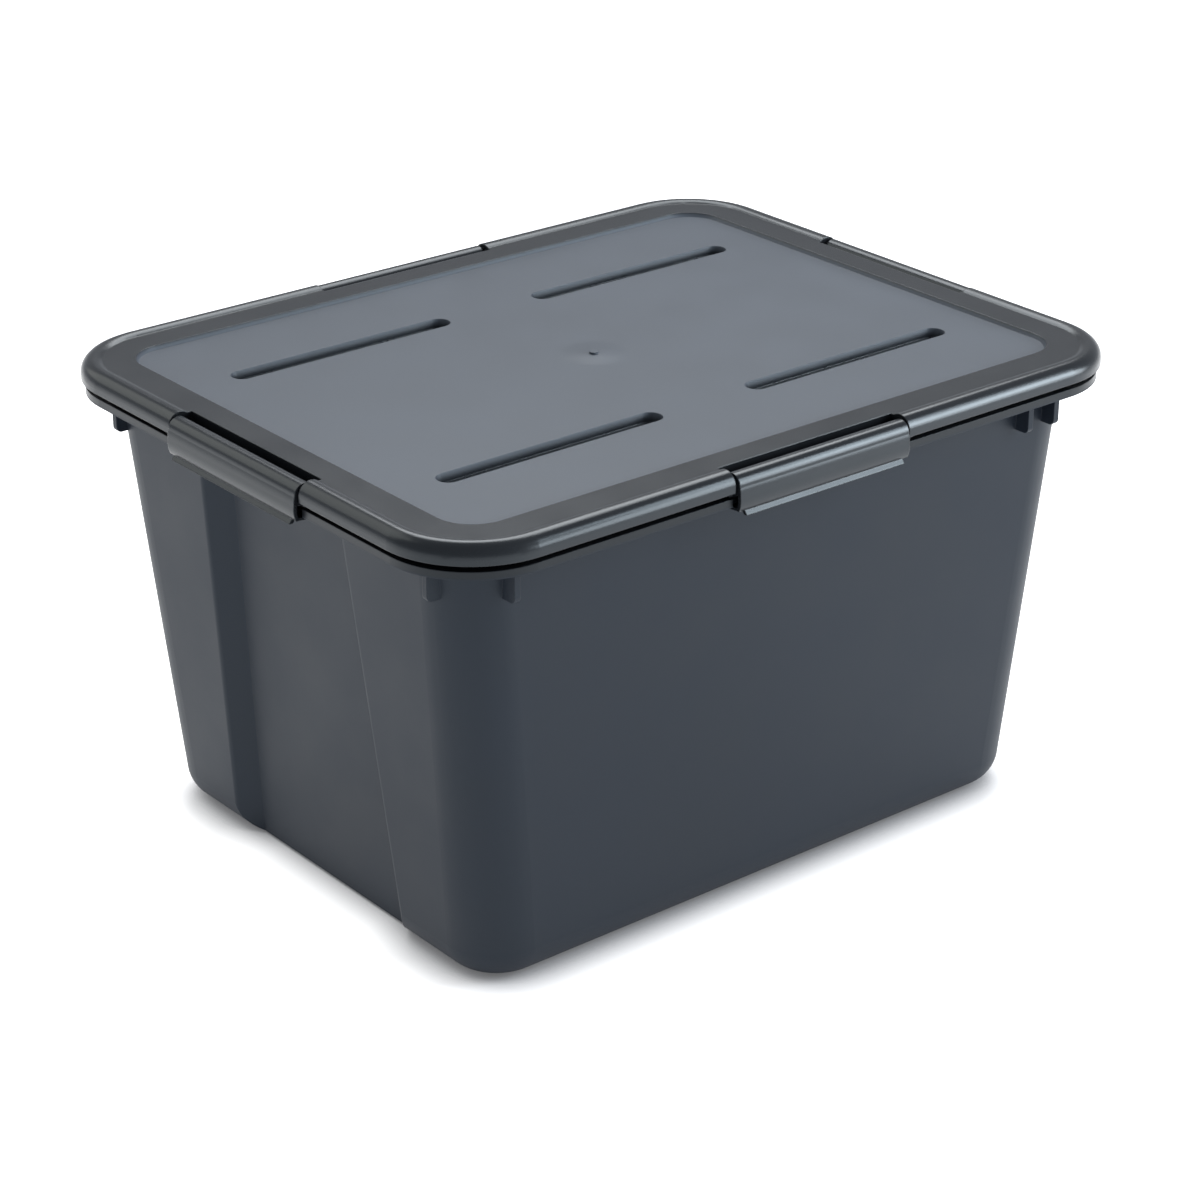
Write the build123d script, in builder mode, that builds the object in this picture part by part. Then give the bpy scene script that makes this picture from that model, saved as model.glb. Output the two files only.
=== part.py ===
from build123d import *
import math
import os

# Portable file box: a tapered tub with a rim flange and hanging-file rails, a lid with a
# rolled rim, and four swinging latches that hook under the flange.
# Millimetres. X runs along the long side, +Z is up, and the origin is the centre of the base.
# An "inset" is a distance measured inward from the lid's outer face.

# Lid outline: the largest sizes of the box
lid_length = 450.0
lid_width = 356.0
lid_corner = 50.0

# Rim of the lid, from the outer face inward
lid_wall = 2.2
lid_rise = 13.6              # top of the rolled rim above the tub's flange
bead_radius = 7.2
bead_skirt = 2.9             # straight part below the rolled rim's round
border_drop = 1.5            # flat border below the top of the rolled rim
panel_inset = 28.8
panel_corner = 9.0
panel_drop = 2.2             # sunk panel below the border
panel_draft = 1.4
plug_inset = 13.9            # outer face of the ring that stands on the tub's flange
plug_wall = 2.0

# Grooves pressed into the lid's panel, and the raised stub of the moulding gate
groove_length = 137.5
groove_width = 12.6
groove_depth = 4.8
groove_draft = 12.0          # degrees
groove_x = 95.5
groove_y = 89.5
gate_radius = 2.4
gate_height = 1.1

# Tub body; its walls end in rails that letter-size hanging files ride on
flange_top = 242.9
rail_rise = 5.6              # rail edge above the flange
rail_play_x = 2.0            # rail to the lid's ring, at the short sides
rail_play_y = 4.9            # the same, at the long sides
tub_lean_x = 22.6            # how far each short side leans out from base to rail
tub_lean_y = 12.4
tub_corner = 31.0            # outside radius between the walls
base_round = 19.0            # outside radius along the foot of the walls
tub_wall = 2.5
tub_floor = 2.6
foot_width = 30.0            # from the base outline to the inside of the ring it stands on
foot_height = 1.4

# Recess in each short side: full height, open at the foot, wider at the bottom
recess_depth_top = 11.0      # brings the rails there to the legal-size file spacing
recess_depth_base = 9.4
recess_width_top = 122.0
recess_width_base = 152.0
recess_slope = 1.18          # run of each slanted side along the wall, for each unit of depth
recess_soft = 4.0            # radius on the recess's outer edges

# Flange round the tub's rim, and the gussets under it
flange_plate = 2.4
flange_lip_height = 4.3
flange_lip = 2.5             # thickness of the lip that hangs from the flange's edge
flange_inset = 1.9
flange_setback = 6.2         # inset of the flange's edge where a latch passes
fin_thickness = 3.5
fin_height = 21.6
long_fin_reach = 8.0         # out from the long sides' walls
short_fin_reach = 3.5        # out from the flat of the short sides' walls, near the corners
fin_corner = 3.0
long_fins = (-178.0, 158.0, 177.0)
short_fins = (-136.0, 136.0)

# Latches: hinge, face, and the nose that hooks under the flange's lip
notch_length = 114.0
latch_gap = 1.5              # between a latch's end and the wall at the notch's end
barrel_radius = 4.8
barrel_inset = 4.7
barrel_drop = 7.4            # hinge line below the top of the rolled rim
pin_radius = 2.0
pin_clearance = 0.05
web_wall = 2.6               # wall that closes the rolled rim at each end of a notch
web_foot = 2.0               # how far that wall drops below the rolled rim's skirt
pin_engagement = 2.2         # how far a pin goes into that wall
latch_wall = 2.2
latch_bulge = 2.0            # how far the latch's face stands proud of the lid
latch_foot = 2.0             # foot of the latch's face below the flange's lip
foot_proud = 0.8             # how far the face stands proud there
lip_reach = 1.7              # grip lip along the latch's foot
lip_drop = 2.2
lip_setback = 3.5            # from the latch's end to the grip lip's end
nose_height = 1.9
nose_clearance = 0.6         # below the flange's lip when the latch is shut
nose_bite = 1.4              # how far the nose reaches under the flange's lip

os.makedirs("parts", exist_ok=True)

half_length = lid_length / 2
half_width = lid_width / 2
rail_length = lid_length - 2 * (plug_inset + plug_wall + rail_play_x)
rail_width = lid_width - 2 * (plug_inset + plug_wall + rail_play_y)
rail_top = flange_top + rail_rise
base_length = rail_length - 2 * tub_lean_x
base_width = rail_width - 2 * tub_lean_y
floor_top = foot_height + tub_floor
flange_under = flange_top - flange_plate
lip_under = flange_top - flange_lip_height

bead_top = flange_top + lid_rise
bead_height = bead_top - bead_radius
bead_inner = bead_radius - lid_wall
skirt_under = bead_height - bead_skirt
border_top = bead_top - border_drop
border_under = border_top - lid_wall
panel_top = border_top - panel_drop
panel_under = panel_top - lid_wall
groove_under = panel_top - groove_depth - lid_wall
plug_inner = plug_inset + plug_wall
bead_end = bead_radius + math.sqrt(bead_radius**2 - (bead_radius - border_drop)**2)

barrel_height = bead_top - barrel_drop
latch_length = notch_length - 2 * latch_gap


def at_height(base_value, rail_value, z):
    """A tapering dimension at height z, from its values at the floor and at the rails."""
    return base_value + (rail_value - base_value) * z / rail_top


def wall_half(base_size, rail_size, z):
    """Half of the tub's outside size at height z."""
    return at_height(base_size, rail_size, z) / 2


def side_plane(index, reach, along=0):
    """Plane across a side of the box: x points inward, y points up."""
    outward = Vector(0, -1, 0).rotate(Axis.Z, 90 * index)
    tangent = Vector(1, 0, 0).rotate(Axis.Z, 90 * index)
    return Plane(origin=outward * reach + tangent * along, x_dir=-outward, z_dir=tangent)


def rim_plane(index, along=0):
    """Plane across the lid's rim on one side, with its origin on the rim's outer face."""
    return side_plane(index, half_length if index % 2 else half_width, along)


def recess_plan(side, z, grow, soft):
    """Plan of a recess at height z, grown by a wall's thickness, its outer edges rounded."""
    depth = at_height(recess_depth_base, recess_depth_top, z)
    outer_half = at_height(recess_width_base, recess_width_top, z) / 2
    inner_y = outer_half - recess_slope * depth + grow * (math.hypot(1, recess_slope) - recess_slope)
    edge_y = inner_y + recess_slope * (depth + grow)
    far_y = edge_y + recess_soft
    edge_x = wall_half(base_length, rail_length, z)
    inner_x = edge_x - depth - grow
    far_x = edge_x + base_round
    points = [(inner_x, -inner_y), (edge_x, -edge_y), (edge_x, -far_y), (far_x, -far_y),
              (far_x, far_y), (edge_x, far_y), (edge_x, edge_y), (inner_x, inner_y)]
    with BuildSketch(Plane.XY.offset(z)) as plan:
        Polygon(*[(side * x, y) for x, y in points], align=None)
        if soft:
            edges = plan.vertices().filter_by(lambda point: abs(abs(point.Y) - edge_y) < 0.01)
            fillet(edges, soft)
    return plan.sketch


def tapered_block(low, shrink):
    """The tub's body from height low up to its rails, each wall moved in by shrink."""
    half_x = [wall_half(base_length, rail_length, z) - shrink for z in (low, rail_top)]
    half_y = [wall_half(base_width, rail_width, z) - shrink for z in (low, rail_top)]
    with BuildPart() as block:
        with BuildSketch(Plane.XZ):
            Polygon((-half_x[0], low), (half_x[0], low), (half_x[1], rail_top),
                    (-half_x[1], rail_top), align=None)
        extrude(amount=rail_width, both=True)
        with BuildSketch(Plane.YZ):
            Polygon((-half_y[0], low), (half_y[0], low), (half_y[1], rail_top),
                    (-half_y[1], rail_top), align=None)
        extrude(amount=rail_length, both=True, mode=Mode.INTERSECT)
        fillet(block.edges().filter_by(Plane.XY, reverse=True), tub_corner - shrink)
        fillet(block.edges().group_by(Axis.Z)[0], base_round - shrink)
    return block.part


# ---------------------------------------------------------------- inside of the tub
with BuildPart() as cavity:
    add(tapered_block(floor_top, tub_wall))
    for side in (-1, 1):
        loft([recess_plan(side, z, tub_wall, 0) for z in (0, rail_top)],
             ruled=True, mode=Mode.SUBTRACT)

# ---------------------------------------------------------------- tub
# flange, set back where each latch passes
with BuildSketch() as flange:
    RectangleRounded(lid_length - 2 * flange_inset, lid_width - 2 * flange_inset,
                     lid_corner - flange_inset)
    with Locations((0, half_width), (0, -half_width)):
        Rectangle(notch_length, 2 * flange_setback, mode=Mode.SUBTRACT)
    with Locations((half_length, 0), (-half_length, 0)):
        Rectangle(2 * flange_setback, notch_length, mode=Mode.SUBTRACT)
with BuildSketch() as flange_edge:
    add(flange.sketch)
    offset(amount=-flange_lip, kind=Kind.INTERSECTION, mode=Mode.SUBTRACT)

with BuildPart() as tub:
    add(tapered_block(0, 0))
    for side in (-1, 1):
        loft([recess_plan(side, z, 0, recess_soft) for z in (0, rail_top)],
             ruled=True, mode=Mode.SUBTRACT)
    extrude(flange.sketch.moved(Location((0, 0, flange_under))), amount=flange_plate)
    extrude(flange_edge.sketch.moved(Location((0, 0, lip_under))), amount=flange_lip_height)

    # gussets under the flange
    fin_base = flange_under - fin_height
    fin_tips = (wall_half(base_width, rail_width, flange_under) + long_fin_reach,
                wall_half(base_length, rail_length, flange_under) + short_fin_reach)
    for index in range(4):
        for along in (short_fins if index % 2 else long_fins):
            with BuildSketch(side_plane(index, fin_tips[index % 2], along)) as fin:
                with Locations((0, fin_base)):
                    Rectangle(fin_height, fin_height, align=(Align.MIN, Align.MIN))
                fillet(fin.vertices().group_by(Axis.Y)[0].sort_by(Axis.X)[0], fin_corner)
            extrude(amount=fin_thickness / 2, both=True)

    add(cavity.part, mode=Mode.SUBTRACT)

    # the tub stands on a ring round its base
    with BuildSketch(Plane.XY):
        Rectangle(base_length - 2 * foot_width, base_width - 2 * foot_width)
    extrude(amount=foot_height, mode=Mode.SUBTRACT)
tub.part.label = "tub"

# ---------------------------------------------------------------- lid
inner_end = bead_radius + math.sqrt(bead_inner**2 - (border_under - bead_height)**2)
inner_slant = bead_inner * math.sqrt(0.5)
border_seam = panel_inset - plug_wall
with BuildPart() as lid:
    # rolled rim: its section swept round half of the outline, then mirrored
    with BuildLine() as outline:
        FilletPolyline((0, -half_width), (half_length, -half_width),
                       (half_length, half_width), (0, half_width), radius=lid_corner)
    with BuildSketch(rim_plane(0)):
        with BuildLine():
            Line((0, skirt_under), (0, bead_height))
            ThreePointArc((0, bead_height), (bead_radius, bead_top), (bead_end, border_top))
            Polyline((bead_end, border_top), (border_seam, border_top),
                     (border_seam, border_under), (plug_inner, border_under),
                     (plug_inner, flange_top), (plug_inset, flange_top),
                     (plug_inset, border_under), (inner_end, border_under),
                     (bead_radius, bead_height + bead_inner),
                     (bead_radius - inner_slant, bead_height + inner_slant),
                     (lid_wall, bead_height), (lid_wall, skirt_under), (0, skirt_under))
        make_face()
    sweep(path=outline.line)
    mirror(about=Plane.YZ)

    # border plate, and the sunk panel inside it
    with BuildSketch(Plane.XY.offset(border_under)):
        plate_inset = border_seam - 1
        RectangleRounded(lid_length - 2 * plate_inset, lid_width - 2 * plate_inset,
                         lid_corner - plate_inset)
    extrude(amount=lid_wall)
    panel_length = lid_length - 2 * panel_inset
    panel_width = lid_width - 2 * panel_inset
    with BuildSketch(Plane.XY.offset(panel_under)):
        RectangleRounded(panel_length + lid_wall, panel_width + lid_wall, panel_corner)
    extrude(amount=lid_wall)
    for z, draft in ((panel_top, panel_draft), (border_top, 0)):
        with BuildSketch(Plane.XY.offset(z)):
            RectangleRounded(panel_length - 2 * draft, panel_width - 2 * draft,
                             panel_corner - draft)
    loft(ruled=True, mode=Mode.SUBTRACT)

    # grooves: a trough under the panel for each, then its inside; then the gate's stub
    groove_places = GridLocations(2 * groove_x, 2 * groove_y, 2, 2)
    with BuildSketch(Plane.XY.offset(panel_under)):
        with groove_places:
            SlotOverall(groove_length + lid_wall, groove_width + lid_wall)
    extrude(amount=groove_under - panel_under, taper=groove_draft)
    with BuildSketch(Plane.XY.offset(panel_top)):
        with groove_places:
            SlotOverall(groove_length, groove_width)
    extrude(amount=-groove_depth, taper=groove_draft, mode=Mode.SUBTRACT)
    with BuildSketch(Plane.XY.offset(panel_top)):
        Circle(gate_radius)
    extrude(amount=gate_height)

    # notches for the latches, closed at their ends by webs that hold the hinge pins
    for index in range(4):
        with BuildSketch(rim_plane(index)):
            with Locations((0, skirt_under)):
                Rectangle(2 * plug_inset, lid_rise, align=(Align.CENTER, Align.MIN))
        extrude(amount=notch_length / 2, both=True, mode=Mode.SUBTRACT)
        for end in (-1, 1):
            with BuildSketch(rim_plane(index, end * notch_length / 2)):
                with BuildLine():
                    ThreePointArc((0, bead_height), (bead_radius, bead_top),
                                  (bead_end, border_top))
                    Polyline((bead_end, border_top), (plug_inset, border_top),
                             (plug_inset, skirt_under - web_foot),
                             (web_foot, skirt_under - web_foot), (0, skirt_under),
                             (0, bead_height))
                make_face()
                with Locations((barrel_inset, barrel_height)):
                    Circle(pin_radius + pin_clearance, mode=Mode.SUBTRACT)
            extrude(amount=end * web_wall)
lid.part.label = "lid"


# ---------------------------------------------------------------- latches
def make_latch(index):
    """One latch, shut, on its side of the lid."""
    plane = rim_plane(index)
    nose_top = lip_under - nose_clearance
    foot_z = lip_under - latch_foot
    middle_z = (barrel_height + foot_z) / 2
    nose_tip = flange_setback + nose_bite
    with BuildPart() as latch:
        with BuildSketch(plane):
            with BuildLine():
                ThreePointArc((barrel_inset - barrel_radius, barrel_height),
                              (-latch_bulge, middle_z), (-foot_proud, foot_z))
                ThreePointArc((latch_wall - foot_proud, foot_z),
                              (latch_wall - latch_bulge, middle_z),
                              (barrel_inset, barrel_height))
                Line((-foot_proud, foot_z), (latch_wall - foot_proud, foot_z))
                Line((barrel_inset, barrel_height), (barrel_inset - barrel_radius, barrel_height))
            make_face()
            with Locations((barrel_inset, barrel_height)):
                Circle(barrel_radius)
            with BuildLine():
                Polyline((latch_wall - latch_bulge, nose_top), (nose_tip, nose_top),
                         (nose_tip, nose_top - nose_height / 2), (nose_tip - 1, nose_top - nose_height),
                         (latch_wall - foot_proud, foot_z), (-foot_proud / 2, foot_z),
                         (latch_wall - latch_bulge, nose_top))
            make_face()
        extrude(amount=latch_length / 2, both=True)
        with BuildSketch(plane):
            with BuildLine():
                Polyline((-foot_proud, foot_z), (-foot_proud - lip_reach, foot_z - lip_drop),
                         (latch_wall - foot_proud - lip_reach, foot_z - lip_drop),
                         (latch_wall - foot_proud, foot_z), (-foot_proud, foot_z))
            make_face()
        extrude(amount=latch_length / 2 - lip_setback, both=True)
        with BuildSketch(plane):
            with Locations((barrel_inset, barrel_height)):
                Circle(pin_radius)
        extrude(amount=notch_length / 2 + pin_engagement, both=True)
    return latch.part


for index, name in enumerate(("latch_front", "latch_right", "latch_back", "latch_left")):
    swing = make_latch(index)
    swing.label = name
    export_step(swing, f"parts/{name}.step")

export_step(tub.part, "parts/tub.step")
export_step(lid.part, "parts/lid.step")
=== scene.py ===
import bpy
import math
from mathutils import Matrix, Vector


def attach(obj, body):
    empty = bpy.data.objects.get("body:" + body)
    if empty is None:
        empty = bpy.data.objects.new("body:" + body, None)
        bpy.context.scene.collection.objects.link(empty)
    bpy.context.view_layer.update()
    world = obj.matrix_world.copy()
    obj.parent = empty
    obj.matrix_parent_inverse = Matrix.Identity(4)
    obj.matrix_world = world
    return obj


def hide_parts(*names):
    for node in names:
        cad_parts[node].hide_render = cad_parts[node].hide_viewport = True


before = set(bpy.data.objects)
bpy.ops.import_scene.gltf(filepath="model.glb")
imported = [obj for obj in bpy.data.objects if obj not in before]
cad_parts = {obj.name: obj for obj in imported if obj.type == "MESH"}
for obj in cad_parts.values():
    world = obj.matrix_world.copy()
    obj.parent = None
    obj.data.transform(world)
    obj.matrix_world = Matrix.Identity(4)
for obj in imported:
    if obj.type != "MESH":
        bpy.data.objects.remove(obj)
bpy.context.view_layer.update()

scene = bpy.context.scene
scene.view_settings.view_transform = "Standard"
scene.view_settings.look = "None"

# ---------------------------------------------------------------- sizes, in metres
PANEL_CORNER = (0.1752, 0.1282)         # centre of each rounded corner of the sunk panel, as shown
PANEL_TEXTURE_EDGE = (0.0200, 0.0212)   # from that centre, where the matte texture fades out
CAD_PANEL_CORNER = (0.1872, 0.1402)     # centre of the same corner on the CAD lid
PANEL_CORNER_GROWTH = 0.012             # from the CAD lid's 9 mm radius to 21 mm
PANEL_CORNER_REACH = 0.014              # how far from the CAD centre the corner's points lie
PANEL_LOWEST = 0.250                    # points above this height belong to the lid's top
GROOVE_CENTRE = (0.0955, 0.0895)
GROOVE_HALF_SIZE = (0.072, 0.009)       # a box round one groove
GROOVE_SHIFT = (0.0023, 0.0009)         # outward along x, inward along y
GROOVE_PAINTED_SHADE_HEIGHTS = (0.2486, 0.2526)  # the texture fades from the panel down into a groove, and the colour darkens there as painted shade
WALL_TEXTURE_TOP = (0.2385, 0.2400)     # where the matte walls give way to the smooth flange
GATE_RADIUS, GATE_HEIGHT = 0.020, 0.0014
HINGE_HEIGHT = 0.2491
HINGE_OUT = {"long": 0.1733, "short": 0.2203}   # from the middle of the box to the hinge line
BARREL_INNER, BARREL_OUTER = 0.0047, 0.008      # the points about a hinge that are moved
BARREL_GROWTH = 0.0011                          # from the CAD latch's 4.8 mm radius to 5.9 mm
BARREL_EASE = 0.0032                            # over which the growth dies out into the face
FLOOR_HALF = 12
CONTACT_GAP = 0.022                     # how near a wall has to be to shade the floor


# ---------------------------------------------------------------- materials
MOTTLE_DARKEST = 0.84                   # the darkest part of the mottle, of the full colour


class Graph:
    """A material's node tree, with short calls for the nodes used here."""

    def __init__(self, name):
        self.material = bpy.data.materials.new(name)
        self.material.use_nodes = True
        self.tree = self.material.node_tree
        self.shader = self.tree.nodes["Principled BSDF"]
        self.place = self.tree.nodes.new("ShaderNodeTexCoord").outputs["Object"]

    def put(self, socket, value):
        if isinstance(value, bpy.types.NodeSocket):
            self.tree.links.new(value, socket)
        else:
            socket.default_value = value

    def math(self, operation, *values):
        made = self.tree.nodes.new("ShaderNodeMath")
        made.operation = operation
        for socket, value in zip(made.inputs, values):
            self.put(socket, value)
        return made.outputs[0]

    def vector(self, operation, *values):
        made = self.tree.nodes.new("ShaderNodeVectorMath")
        made.operation = operation
        for socket, value in zip(made.inputs, values):
            self.put(socket, value)
        return made.outputs["Value" if operation == "LENGTH" else "Vector"]

    def ease(self, value, low, high, start=0.0, end=1.0):
        """A smooth step of value from start at low to end at high."""
        made = self.tree.nodes.new("ShaderNodeMapRange")
        made.interpolation_type = "SMOOTHSTEP"
        for socket, given in zip(made.inputs, (value, low, high, start, end)):
            self.put(socket, given)
        return made.outputs["Result"]

    def noise(self, scale, detail=2.0, rough=0.5, stretch=None):
        made = self.tree.nodes.new("ShaderNodeTexNoise")
        place = self.vector("MULTIPLY", self.place, stretch) if stretch else self.place
        self.put(made.inputs["Vector"], place)
        made.inputs["Scale"].default_value = scale
        made.inputs["Detail"].default_value = detail
        made.inputs["Roughness"].default_value = rough
        return made.outputs["Fac"]

    def mix(self, factor, first, second):
        made = self.tree.nodes.new("ShaderNodeMix")
        made.data_type = "RGBA"
        self.put(made.inputs["Factor"], factor)
        self.put(made.inputs["A"], first)
        self.put(made.inputs["B"], second)
        return made.outputs["Result"]


def colour(value):
    return (value[0], value[1], value[2], 1.0)


def moulded(name, smooth, matte, grain_part, round_edge=0.0007, mark=None, wave=0.00006, level=0.42):
    """Moulded polypropylene. smooth and matte are (colour, roughness, grain height). grain_part
    gives where the matte mould texture is, from 0 to 1, and where it falls off as painted shade (in the
    lid's grooves); mark adds to the surface's height."""
    g = Graph(name)
    g.shader.inputs["IOR"].default_value = 1.49
    g.shader.inputs["Specular Tint"].default_value = (0.83, 0.93, 1.0, 1.0)
    g.shader.inputs["Specular IOR Level"].default_value = level
    part = grain_part(g)
    mottle = g.noise(24.0, 5.0, 0.6)
    cloud = g.noise(5.5, 2.0, 0.5)
    base = g.mix(part, colour(smooth[0]), colour(matte[0]))
    darker = g.mix(part, colour([c * MOTTLE_DARKEST for c in smooth[0]]),
                   colour([c * MOTTLE_DARKEST for c in matte[0]]))
    shade = g.math("ADD", g.ease(mottle, 0.3, 0.7, 0.0, 0.6), g.ease(cloud, 0.3, 0.7, 0.0, 0.4))
    g.put(g.shader.inputs["Base Color"], g.mix(shade, darker, base))
    rough = g.math("ADD", g.math("MULTIPLY", part, matte[1] - smooth[1]), smooth[1])
    g.put(g.shader.inputs["Roughness"], g.math("ADD", rough, g.ease(mottle, 0.25, 0.75, -0.02, 0.03)))
    fine = g.noise(1500.0, 2.0, 0.6)
    swell = g.noise(13.0, 1.0, 0.5)
    height = g.math("MULTIPLY", g.math("ADD", g.math("MULTIPLY", part, matte[2] - smooth[2]), smooth[2]),
                    fine)
    height = g.math("ADD", height, g.math("MULTIPLY", swell, wave))
    if mark:
        height = g.math("ADD", height, mark(g))
    bevel = g.tree.nodes.new("ShaderNodeBevel")
    bevel.samples = 6
    bevel.inputs["Radius"].default_value = round_edge
    bump = g.tree.nodes.new("ShaderNodeBump")
    bump.inputs["Strength"].default_value = 1.0
    bump.inputs["Distance"].default_value = 1.0
    g.put(bump.inputs["Height"], height)
    g.put(bump.inputs["Normal"], bevel.outputs["Normal"])
    g.put(g.shader.inputs["Normal"], bump.outputs["Normal"])
    return g.material


def height_of(g):
    made = g.tree.nodes.new("ShaderNodeSeparateXYZ")
    g.put(made.inputs[0], g.place)
    return made.outputs["Z"]


def panel_and_groove_shade(g):
    """1 on the sunk panel, 0 on the smooth rim round it: a rounded rectangle in plan. It falls off
    down the grooves, whose floors are smoother and darker: the darker colour there is painted shade."""
    flat = g.vector("MULTIPLY", g.vector("ABSOLUTE", g.place), (1, 1, 0))
    past = g.vector("MAXIMUM", g.vector("SUBTRACT", flat, (*PANEL_CORNER, 0)), (0, 0, 0))
    inside = g.ease(g.vector("LENGTH", past), *PANEL_TEXTURE_EDGE, 1.0, 0.0)
    # the fall towards the groove floors darkens their colour: painted shade
    return g.math("MULTIPLY", inside, g.ease(height_of(g), *GROOVE_PAINTED_SHADE_HEIGHTS, 0.15, 1.0))


def on_walls(g):
    """1 on the walls, 0 on the smooth flange and fins above them."""
    return g.ease(height_of(g), *WALL_TEXTURE_TOP, 1.0, 0.0)


def nowhere(g):
    """0 all over: the piece is smooth."""
    return g.math("ADD", 0.0, 0.0)


def gate_mound(g):
    """The low round swelling about the moulding gate, in the middle of the panel."""
    away = g.vector("LENGTH", g.vector("MULTIPLY", g.place, (1, 1, 0)))
    return g.ease(away, 0.0, GATE_RADIUS, GATE_HEIGHT, 0.0)


# each finish is (colour, roughness, grain height)
SMOOTH_COLOUR = (0.010, 0.0112, 0.0135)
FLANGE = (SMOOTH_COLOUR, 0.30, 0.000002)
POLISHED = (SMOOTH_COLOUR, 0.24, 0.000001)
WALL = ((0.0108, 0.0150, 0.0238), 0.50, 0.00002)
# the panel's colour is far lighter than the walls': partly its matte finish, partly painted light for
# the light that falls on the top
PANEL_WITH_PAINTED_LIGHT = ((0.069, 0.080, 0.099), 0.46, 0.00002)
tub_plastic = moulded("tub_plastic", FLANGE, WALL, on_walls, level=0.31)
lid_plastic = moulded("lid_plastic", POLISHED, PANEL_WITH_PAINTED_LIGHT, panel_and_groove_shade, mark=gate_mound)
latch_plastic = moulded("latch_plastic", POLISHED, POLISHED, nowhere)


def dress(obj, material):
    obj.data.materials.clear()
    obj.data.materials.append(material)


# ---------------------------------------------------------------- pieces
def reshaped(node, name, place):
    """A piece that stands for a node, with its mesh's points where place(x, y, z) puts them. It
    rides on the body of the node's own name."""
    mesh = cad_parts[node].data.copy()
    mesh.name = name
    for point in mesh.vertices:
        point.co = place(*point.co)
    piece = bpy.data.objects.new(name, mesh)
    scene.collection.objects.link(piece)
    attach(piece, node)
    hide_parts(node)
    return piece


def lid_place(x, y, z):
    """Rounds the sunk panel's corners to 21 mm, about the centres of the lid's own corners, and
    moves the grooves 2.3 mm out and 0.9 mm in."""
    over_x, over_y = abs(x) - CAD_PANEL_CORNER[0], abs(y) - CAD_PANEL_CORNER[1]
    reach = math.hypot(over_x, over_y)
    at_corner = min(over_x, over_y) > -0.00001 and reach < PANEL_CORNER_REACH
    at_groove = (abs(abs(x) - GROOVE_CENTRE[0]) < GROOVE_HALF_SIZE[0]
                 and abs(abs(y) - GROOVE_CENTRE[1]) < GROOVE_HALF_SIZE[1])
    if at_corner and z > PANEL_LOWEST:
        x = math.copysign(PANEL_CORNER[0] + over_x * (reach + PANEL_CORNER_GROWTH) / reach, x)
        y = math.copysign(PANEL_CORNER[1] + over_y * (reach + PANEL_CORNER_GROWTH) / reach, y)
    elif at_groove:
        x += math.copysign(GROOVE_SHIFT[0], x)
        y -= math.copysign(GROOVE_SHIFT[1], y)
    return x, y, z


def latch_place(hinge):
    """Thickens a latch's barrel about its hinge line from 4.8 to 5.9 mm, easing into its face."""
    def place(x, y, z):
        along = Vector(hinge[:2]).normalized()
        out = x * along.x + y * along.y - Vector(hinge[:2]).length
        up = z - hinge[2]
        reach = math.hypot(out, up)
        if BARREL_INNER < reach < BARREL_OUTER:
            grown = BARREL_GROWTH * min(1.0, (BARREL_OUTER - reach) / BARREL_EASE) / reach
            x += along.x * out * grown
            y += along.y * out * grown
            z += up * grown
        return x, y, z
    return place


dress(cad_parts["tub"], tub_plastic)
lid_shell = reshaped("lid", "lid_shell", lid_place)
dress(lid_shell, lid_plastic)
glossy = bpy.data.collections.new("glossy")     # what the strip light falls on
glossy.objects.link(lid_shell)
hinges = {"front": (0, -HINGE_OUT["long"], HINGE_HEIGHT), "back": (0, HINGE_OUT["long"], HINGE_HEIGHT),
          "left": (-HINGE_OUT["short"], 0, HINGE_HEIGHT), "right": (HINGE_OUT["short"], 0, HINGE_HEIGHT)}
for side, hinge in hinges.items():
    piece = reshaped("latch_" + side, "latch_shell_" + side, latch_place(hinge))
    dress(piece, latch_plastic)
    glossy.objects.link(piece)

# ---------------------------------------------------------------- stage
floor_mesh = bpy.data.meshes.new("floor")
floor_corners = [(x * FLOOR_HALF, y * FLOOR_HALF, 0) for x, y in ((-1, -1), (1, -1), (1, 1), (-1, 1))]
floor_mesh.from_pydata(floor_corners, [], [(0, 1, 2, 3)])
floor = bpy.data.objects.new("floor", floor_mesh)
scene.collection.objects.link(floor)
paper = bpy.data.materials.new("paper")
paper.use_nodes = True
sheet = paper.node_tree.nodes["Principled BSDF"]
sheet.inputs["Roughness"].default_value = 0.9
sheet.inputs["Specular IOR Level"].default_value = 0.0
sheet.inputs["Emission Color"].default_value = (1, 1, 1, 1)

# painted contact shadow: the floor's glow fades in the narrow gap under the foot of the walls, as light
# does there
gap = paper.node_tree.nodes.new("ShaderNodeAmbientOcclusion")
gap.samples = 8
gap.inputs["Distance"].default_value = CONTACT_GAP
glow = paper.node_tree.nodes.new("ShaderNodeMapRange")
# the openness of a point, from shut in to open, gives a glow from 0.10 to 0.88
for socket, value in zip(glow.inputs, (0.0, 0.30, 0.97, 0.10, 0.88)):
    socket.default_value = value
paper.node_tree.links.new(gap.outputs["AO"], glow.inputs["Value"])
paper.node_tree.links.new(glow.outputs["Result"], sheet.inputs["Emission Strength"])
# the floor's colour also darkens there, from 0.9 to a 0.42 grey: more painted contact shadow
contact_shadow_tone = paper.node_tree.nodes.new("ShaderNodeMix")
contact_shadow_tone.data_type = "RGBA"
contact_shadow_tone.inputs["A"].default_value = (0.42, 0.42, 0.44, 1)
contact_shadow_tone.inputs["B"].default_value = (0.9, 0.9, 0.9, 1)
paper.node_tree.links.new(glow.outputs["Result"], contact_shadow_tone.inputs["Factor"])
paper.node_tree.links.new(contact_shadow_tone.outputs["Result"], sheet.inputs["Base Color"])
floor_mesh.materials.append(paper)

world = bpy.data.worlds.new("studio")
scene.world = world
world.use_nodes = True
world.node_tree.nodes["Background"].inputs["Color"].default_value = (0.93, 0.97, 1.04, 1)
sky = world.node_tree.nodes["Background"].inputs["Strength"]
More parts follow.
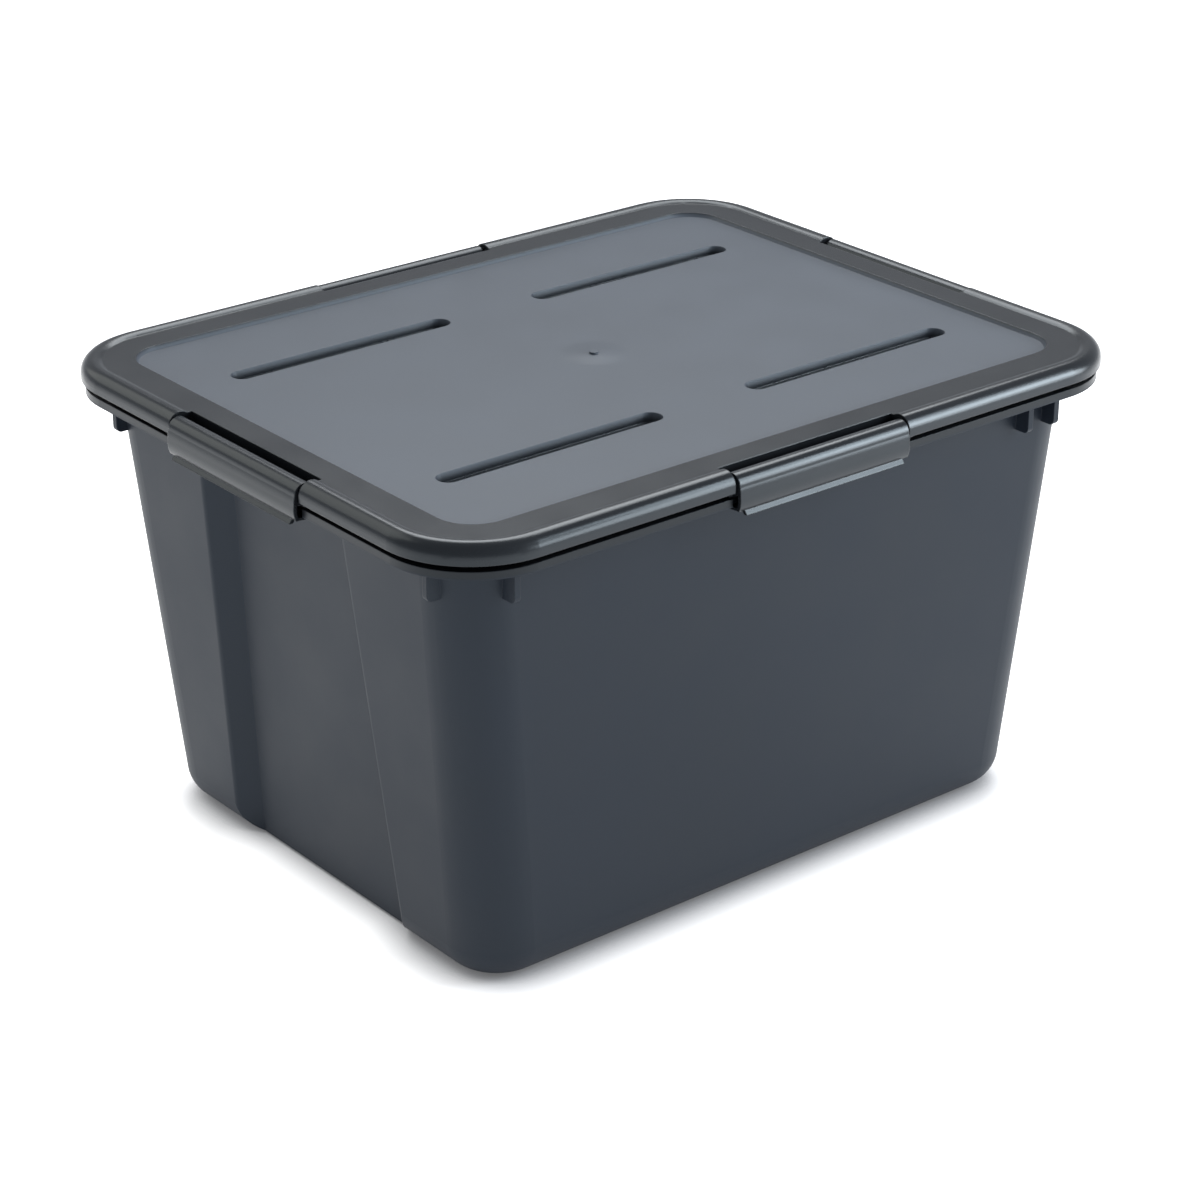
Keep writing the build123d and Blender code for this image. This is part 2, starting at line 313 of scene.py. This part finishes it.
# a pale sweep behind the floor: brightest at the horizon, fading upwards to the room
direction = world.node_tree.nodes.new("ShaderNodeTexCoord")
height = world.node_tree.nodes.new("ShaderNodeSeparateXYZ")
world.node_tree.links.new(direction.outputs["Generated"], height.inputs[0])
sweep = world.node_tree.nodes.new("ShaderNodeMapRange")
sweep.interpolation_type = "SMOOTHSTEP"
for socket, value in zip(sweep.inputs, (0.0, 0.03, 0.24, 0.74, 0.47)):
    socket.default_value = value
world.node_tree.links.new(height.outputs["Z"], sweep.inputs["Value"])
world.node_tree.links.new(sweep.outputs["Result"], sky)


def softbox(name, toward, distance, size, radiance, aim=(0, 0, 0.2), tint=(1, 1, 1)):
    """A rectangular soft light, in the direction toward from aim. radiance is how bright it looks."""
    data = bpy.data.lights.new(name, "AREA")
    data.shape = "RECTANGLE"
    data.size, data.size_y = size
    data.color = tint
    data.energy = radiance * size[0] * size[1] * math.pi
    lamp = bpy.data.objects.new(name, data)
    scene.collection.objects.link(lamp)
    lamp.location = Vector(aim) + Vector(toward).normalized() * distance
    lamp.rotation_euler = (Vector(aim) - lamp.location).to_track_quat("-Z", "Y").to_euler()
    lamp.visible_camera = False
    return lamp


softbox("behind", (0.52, 0.56, 0.95), 1.7, (1.3, 0.8), 6.2)
softbox("right", (0.633, -0.68, 0.42), 1.6, (0.4, 0.9), 11.0, tint=(0.88, 0.95, 1.0))
strip = softbox("strip", (0.633, -0.74, 0.20), 1.6, (1.15, 0.75), 6.5, tint=(0.93, 0.97, 1.0))
strip.data.shape = "ELLIPSE"
strip.light_linking.receiver_collection = glossy
softbox("left", (-0.418, 0.706, 0.572), 1.6, (1.1, 1.1), 1.4, tint=(1.0, 0.985, 0.90))

# ---------------------------------------------------------------- camera
view = bpy.data.cameras.new("view")
view.sensor_width = 36.0
view.lens = 96.92
view.clip_end = 100.0
camera = bpy.data.objects.new("camera", view)
scene.collection.objects.link(camera)
camera.location = (-0.9975, -1.2361, 0.8411)
camera.rotation_euler = (math.pi / 2 - 0.431, 0.0, -0.681)
scene.camera = camera
